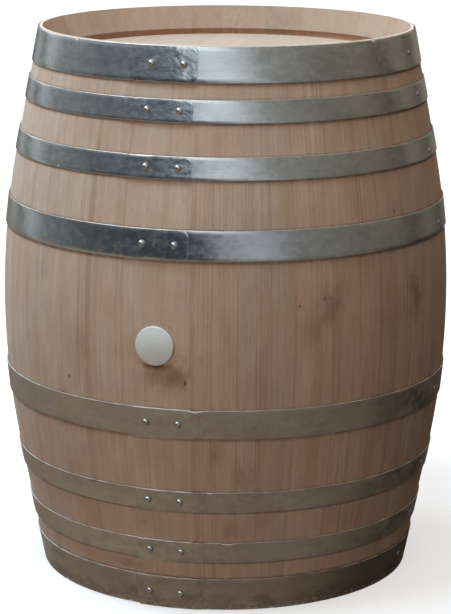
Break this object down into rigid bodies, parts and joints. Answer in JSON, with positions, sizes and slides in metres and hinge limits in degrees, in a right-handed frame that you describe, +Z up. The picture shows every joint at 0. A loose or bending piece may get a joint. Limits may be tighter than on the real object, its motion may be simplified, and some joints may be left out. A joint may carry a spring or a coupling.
{
  "type": "oak wine barrel",
  "caption": "Bulging upright oak cask with steel hoops, recessed heads and a pull-out silicone bung in one stave, for ageing and storing wine.",
  "frame": {"origin": "centre of the lower chime plane, where the barrel stands on its end", "axes": "+Z up the barrel's axis, -Y from the axis towards the bung, +X to the right of the bung as seen from outside"},
  "size_m": [0.7197, 0.7285, 0.878],
  "materials": {
    "stave_oak": "sanded",
    "head_oak": "sanded",
    "dowel_wood": "raw",
    "reed": "dry rush leaf",
    "hoop_steel": "galvanised",
    "rivet_steel": "polished by the rivet set",
    "nail_steel": "dull",
    "bung_silicone": "satin"
  },
  "bodies": {
    "barrel": {"bung_stave": "stave_oak", "stave_02": "stave_oak", "stave_03": "stave_oak", "stave_04": "stave_oak", "stave_05": "stave_oak", "stave_06": "stave_oak", "stave_07": "stave_oak", "stave_08": "stave_oak", "stave_09": "stave_oak", "stave_10": "stave_oak", "stave_11": "stave_oak", "stave_12": "stave_oak", "stave_13": "stave_oak", "stave_14": "stave_oak", "stave_15": "stave_oak", "stave_16": "stave_oak", "stave_17": "stave_oak", "stave_18": "stave_oak", "stave_19": "stave_oak", "stave_20": "stave_oak", "stave_21": "stave_oak", "stave_22": "stave_oak", "stave_23": "stave_oak", "stave_24": "stave_oak", "stave_25": "stave_oak", "stave_26": "stave_oak", "stave_27": "stave_oak", "stave_28": "stave_oak", "top_head_board_1": "head_oak", "top_head_board_2": "head_oak", "top_head_board_3": "head_oak", "top_head_board_4": "head_oak", "top_head_board_5": "head_oak", "top_head_board_6": "head_oak", "top_head_board_7": "head_oak", "top_head_board_8": "head_oak", "bottom_head_board_1": "head_oak", "bottom_head_board_2": "head_oak", "bottom_head_board_3": "head_oak", "bottom_head_board_4": "head_oak", "bottom_head_board_5": "head_oak", "bottom_head_board_6": "head_oak", "bottom_head_board_7": "head_oak", "bottom_head_board_8": "head_oak", "top_head_dowels": "dowel_wood", "bottom_head_dowels": "dowel_wood", "top_head_reeds": "reed", "bottom_head_reeds": "reed", "top_head_hoop": "hoop_steel", "top_outer_quarter_hoop": "hoop_steel", "top_inner_quarter_hoop": "hoop_steel", "top_bilge_hoop": "hoop_steel", "bottom_bilge_hoop": "hoop_steel", "bottom_inner_quarter_hoop": "hoop_steel", "bottom_outer_quarter_hoop": "hoop_steel", "bottom_head_hoop": "hoop_steel", "hoop_rivets": "rivet_steel", "hoop_nails": "nail_steel"},
    "bung": {"bung": "bung_silicone"}
  },
  "joints": [
    {"name": "bung_pull", "type": "slide", "parent": "barrel", "child": "bung", "axis": [0, -1, 0], "range_m": [0, 0.07]}
  ]
}
